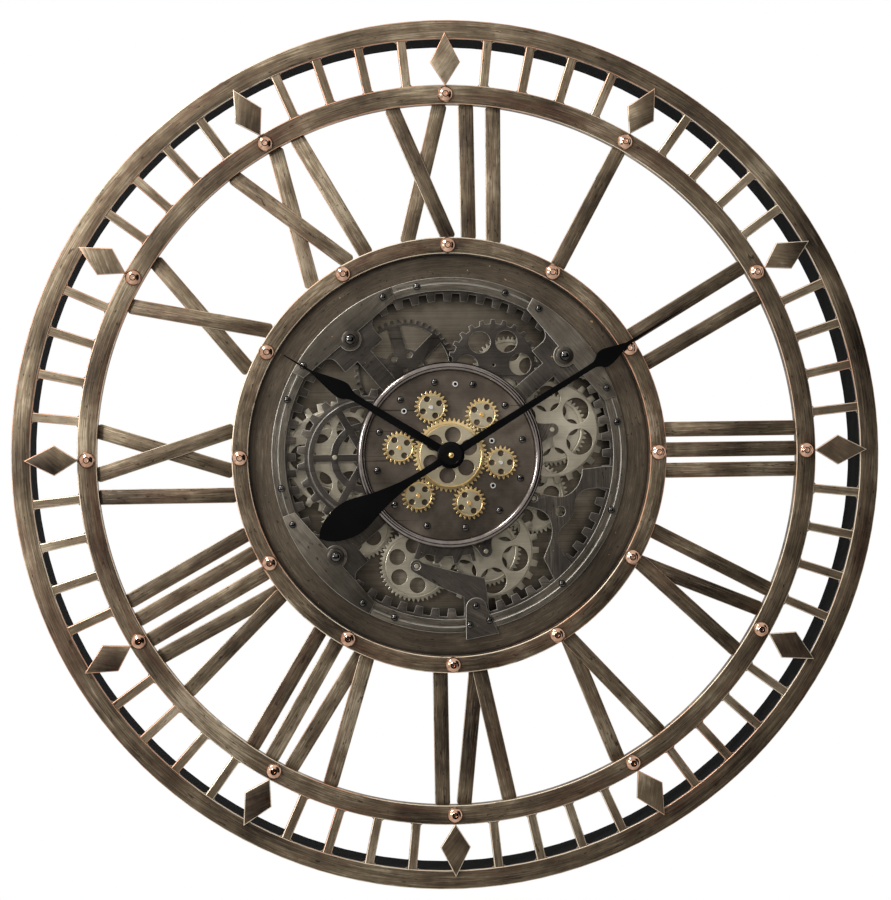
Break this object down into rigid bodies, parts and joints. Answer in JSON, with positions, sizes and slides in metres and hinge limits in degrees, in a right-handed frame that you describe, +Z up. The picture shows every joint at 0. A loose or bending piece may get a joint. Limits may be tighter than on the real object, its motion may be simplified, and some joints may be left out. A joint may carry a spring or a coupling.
{
  "type": "gear wall clock",
  "caption": "Round open-dial wall clock with Roman numerals, a black hand pair and a train of turning gears behind the dial centre.",
  "frame": {"origin": "on the hands' axis, in the plane of the wall behind the clock", "axes": "+Z up towards twelve, +X towards three, -Y out of the wall along the hands' axis, so +Y points into the wall"},
  "size_m": [0.7999, 0.0661, 0.8],
  "materials": {
    "black_band": "matt black",
    "brass": "satin",
    "case_plastic": "moulded",
    "cell_jacket": "printed jacket without lettering",
    "champagne": "satin champagne",
    "chrome": "polished",
    "copper": "polished copper",
    "dark_steel": "darkened",
    "dial_metal": "brushed antique bronze",
    "gunmetal": "brushed and darkened",
    "hand_black": "matt black",
    "pad_rubber": "plain"
  },
  "bodies": {
    "case": {"rim_hoop": "black_band", "rim_face": "dial_metal", "wall_pads": "pad_rubber", "minute_bars": "dial_metal", "hour_diamonds": "dial_metal", "middle_ring": "dial_metal", "inner_ring": "dial_metal", "copper_domes": "copper", "roman_numerals": "dial_metal", "dish_plate": "gunmetal", "case_drum": "dark_steel", "rear_cover": "case_plastic", "cover_screws": "chrome", "base_plate": "gunmetal", "brass_bushes": "brass", "ring_gear": "dark_steel", "trim_strip": "gunmetal", "cover_plates": "gunmetal", "bracket_arms": "dark_steel", "forked_bracket": "dark_steel", "foot_bracket": "dark_steel", "lever_cock": "dark_steel", "sub_plate": "dark_steel", "pillars": "chrome", "centre_disc": "gunmetal", "disc_wire": "chrome", "small_rivets": "chrome", "large_rivets": "chrome", "disc_eyelets": "chrome", "spoked_wheel": "dark_steel", "upper_left_wheel": "dark_steel", "upper_right_wheel": "dark_steel", "movement_case": "case_plastic", "threaded_bush": "brass", "battery_box": "case_plastic", "cells": "cell_jacket", "drive_motor": "dark_steel"},
    "door": {"battery_door": "case_plastic"},
    "switch": {"switch_slider": "case_plastic"},
    "knob": {"set_knob": "case_plastic"},
    "hour": {"hour_hand": "hand_black"},
    "minute": {"minute_hand": "hand_black", "hand_nut": "brass"},
    "sun": {"sun_gear": "brass", "sun_tube": "brass"},
    "planet_1": {"planet_gear_1": "brass"},
    "planet_2": {"planet_gear_2": "brass"},
    "planet_3": {"planet_gear_3": "brass"},
    "planet_4": {"planet_gear_4": "brass"},
    "planet_5": {"planet_gear_5": "brass"},
    "planet_6": {"planet_gear_6": "brass"},
    "motor_shaft": {"motor_pinion": "brass"},
    "wheel_1": {"train_wheel_1": "champagne"},
    "wheel_2": {"train_wheel_2": "champagne"},
    "wheel_3": {"train_wheel_3": "champagne"},
    "wheel_4": {"train_wheel_4": "champagne"},
    "wheel_5": {"train_wheel_5": "champagne"},
    "wheel_6": {"train_wheel_6": "champagne"},
    "wheel_7": {"train_wheel_7": "champagne"}
  },
  "joints": [
    {"name": "battery_door_lift", "type": "slide", "parent": "case", "child": "door", "axis": [0, 1, 0], "range_m": [0, 0.03]},
    {"name": "switch_slide", "type": "slide", "parent": "case", "child": "switch", "axis": [1, 0, 0], "range_m": [0, 0.003]},
    {"name": "minute_turn", "type": "hinge", "parent": "case", "child": "minute", "pos_m": [0, -0.06, 0], "axis": [0, 1, 0], "continuous": true},
    {"name": "hour_turn", "type": "hinge", "parent": "case", "child": "hour", "pos_m": [0, -0.056, 0], "axis": [0, 1, 0], "continuous": true},
    {"name": "set_knob_turn", "type": "hinge", "parent": "case", "child": "knob", "pos_m": [0, -0.001, 0.011], "axis": [0, 1, 0], "continuous": true},
    {"name": "sun_turn", "type": "hinge", "parent": "case", "child": "sun", "pos_m": [0, -0.04, 0], "axis": [0, 1, 0], "continuous": true},
    {"name": "motor_turn", "type": "hinge", "parent": "case", "child": "motor_shaft", "pos_m": [0, -0.02, 0.04113], "axis": [0, 1, 0], "continuous": true},
    {"name": "planet_turn_1", "type": "hinge", "parent": "case", "child": "planet_1", "pos_m": [-0.01695, -0.045, 0.04416], "axis": [0, 1, 0], "continuous": true},
    {"name": "planet_turn_2", "type": "hinge", "parent": "case", "child": "planet_2", "pos_m": [0.02977, -0.045, 0.03676], "axis": [0, 1, 0], "continuous": true},
    {"name": "planet_turn_3", "type": "hinge", "parent": "case", "child": "planet_3", "pos_m": [0.04672, -0.045, -0.0074], "axis": [0, 1, 0], "continuous": true},
    {"name": "planet_turn_4", "type": "hinge", "parent": "case", "child": "planet_4", "pos_m": [0.01695, -0.045, -0.04416], "axis": [0, 1, 0], "continuous": true},
    {"name": "planet_turn_5", "type": "hinge", "parent": "case", "child": "planet_5", "pos_m": [-0.02977, -0.045, -0.03676], "axis": [0, 1, 0], "continuous": true},
    {"name": "planet_turn_6", "type": "hinge", "parent": "case", "child": "planet_6", "pos_m": [-0.04672, -0.045, 0.0074], "axis": [0, 1, 0], "continuous": true},
    {"name": "wheel_turn_1", "type": "hinge", "parent": "case", "child": "wheel_1", "pos_m": [0.07711, -0.027, -0.04091], "axis": [0, 1, 0], "continuous": true},
    {"name": "wheel_turn_2", "type": "hinge", "parent": "case", "child": "wheel_2", "pos_m": [0.09547, -0.027, 0.02228], "axis": [0, 1, 0], "continuous": true},
    {"name": "wheel_turn_3", "type": "hinge", "parent": "case", "child": "wheel_3", "pos_m": [0.05688, -0.027, 0.07559], "axis": [0, 1, 0], "continuous": true},
    {"name": "wheel_turn_4", "type": "hinge", "parent": "case", "child": "wheel_4", "pos_m": [0.03248, -0.027, -0.08928], "axis": [0, 1, 0], "continuous": true},
    {"name": "wheel_turn_5", "type": "hinge", "parent": "case", "child": "wheel_5", "pos_m": [-0.03207, -0.027, -0.10206], "axis": [0, 1, 0], "continuous": true},
    {"name": "wheel_turn_6", "type": "hinge", "parent": "case", "child": "wheel_6", "pos_m": [-0.08511, -0.027, -0.0631], "axis": [0, 1, 0], "continuous": true},
    {"name": "wheel_turn_7", "type": "hinge", "parent": "case", "child": "wheel_7", "pos_m": [-0.10599, -0.027, -0.00069], "axis": [0, 1, 0], "continuous": true}
  ],
  "couplings": [
    {"joint": "hour_turn", "follows": "minute_turn", "ratio": 0.083333},
    {"joint": "set_knob_turn", "follows": "minute_turn", "ratio": -0.33333},
    {"joint": "motor_turn", "follows": "sun_turn", "ratio": -4},
    {"joint": "planet_turn_1", "follows": "sun_turn", "ratio": -2.2857},
    {"joint": "planet_turn_2", "follows": "sun_turn", "ratio": -2.2857},
    {"joint": "planet_turn_3", "follows": "sun_turn", "ratio": -2.2857},
    {"joint": "planet_turn_4", "follows": "sun_turn", "ratio": -2.2857},
    {"joint": "planet_turn_5", "follows": "sun_turn", "ratio": -2.2857},
    {"joint": "planet_turn_6", "follows": "sun_turn", "ratio": -2.2857},
    {"joint": "wheel_turn_1", "follows": "sun_turn", "ratio": 0.85714},
    {"joint": "wheel_turn_2", "follows": "sun_turn", "ratio": -0.85714},
    {"joint": "wheel_turn_3", "follows": "sun_turn", "ratio": 0.85714},
    {"joint": "wheel_turn_4", "follows": "sun_turn", "ratio": -0.85714},
    {"joint": "wheel_turn_5", "follows": "sun_turn", "ratio": 0.85714},
    {"joint": "wheel_turn_6", "follows": "sun_turn", "ratio": -0.85714},
    {"joint": "wheel_turn_7", "follows": "sun_turn", "ratio": 0.85714}
  ]
}
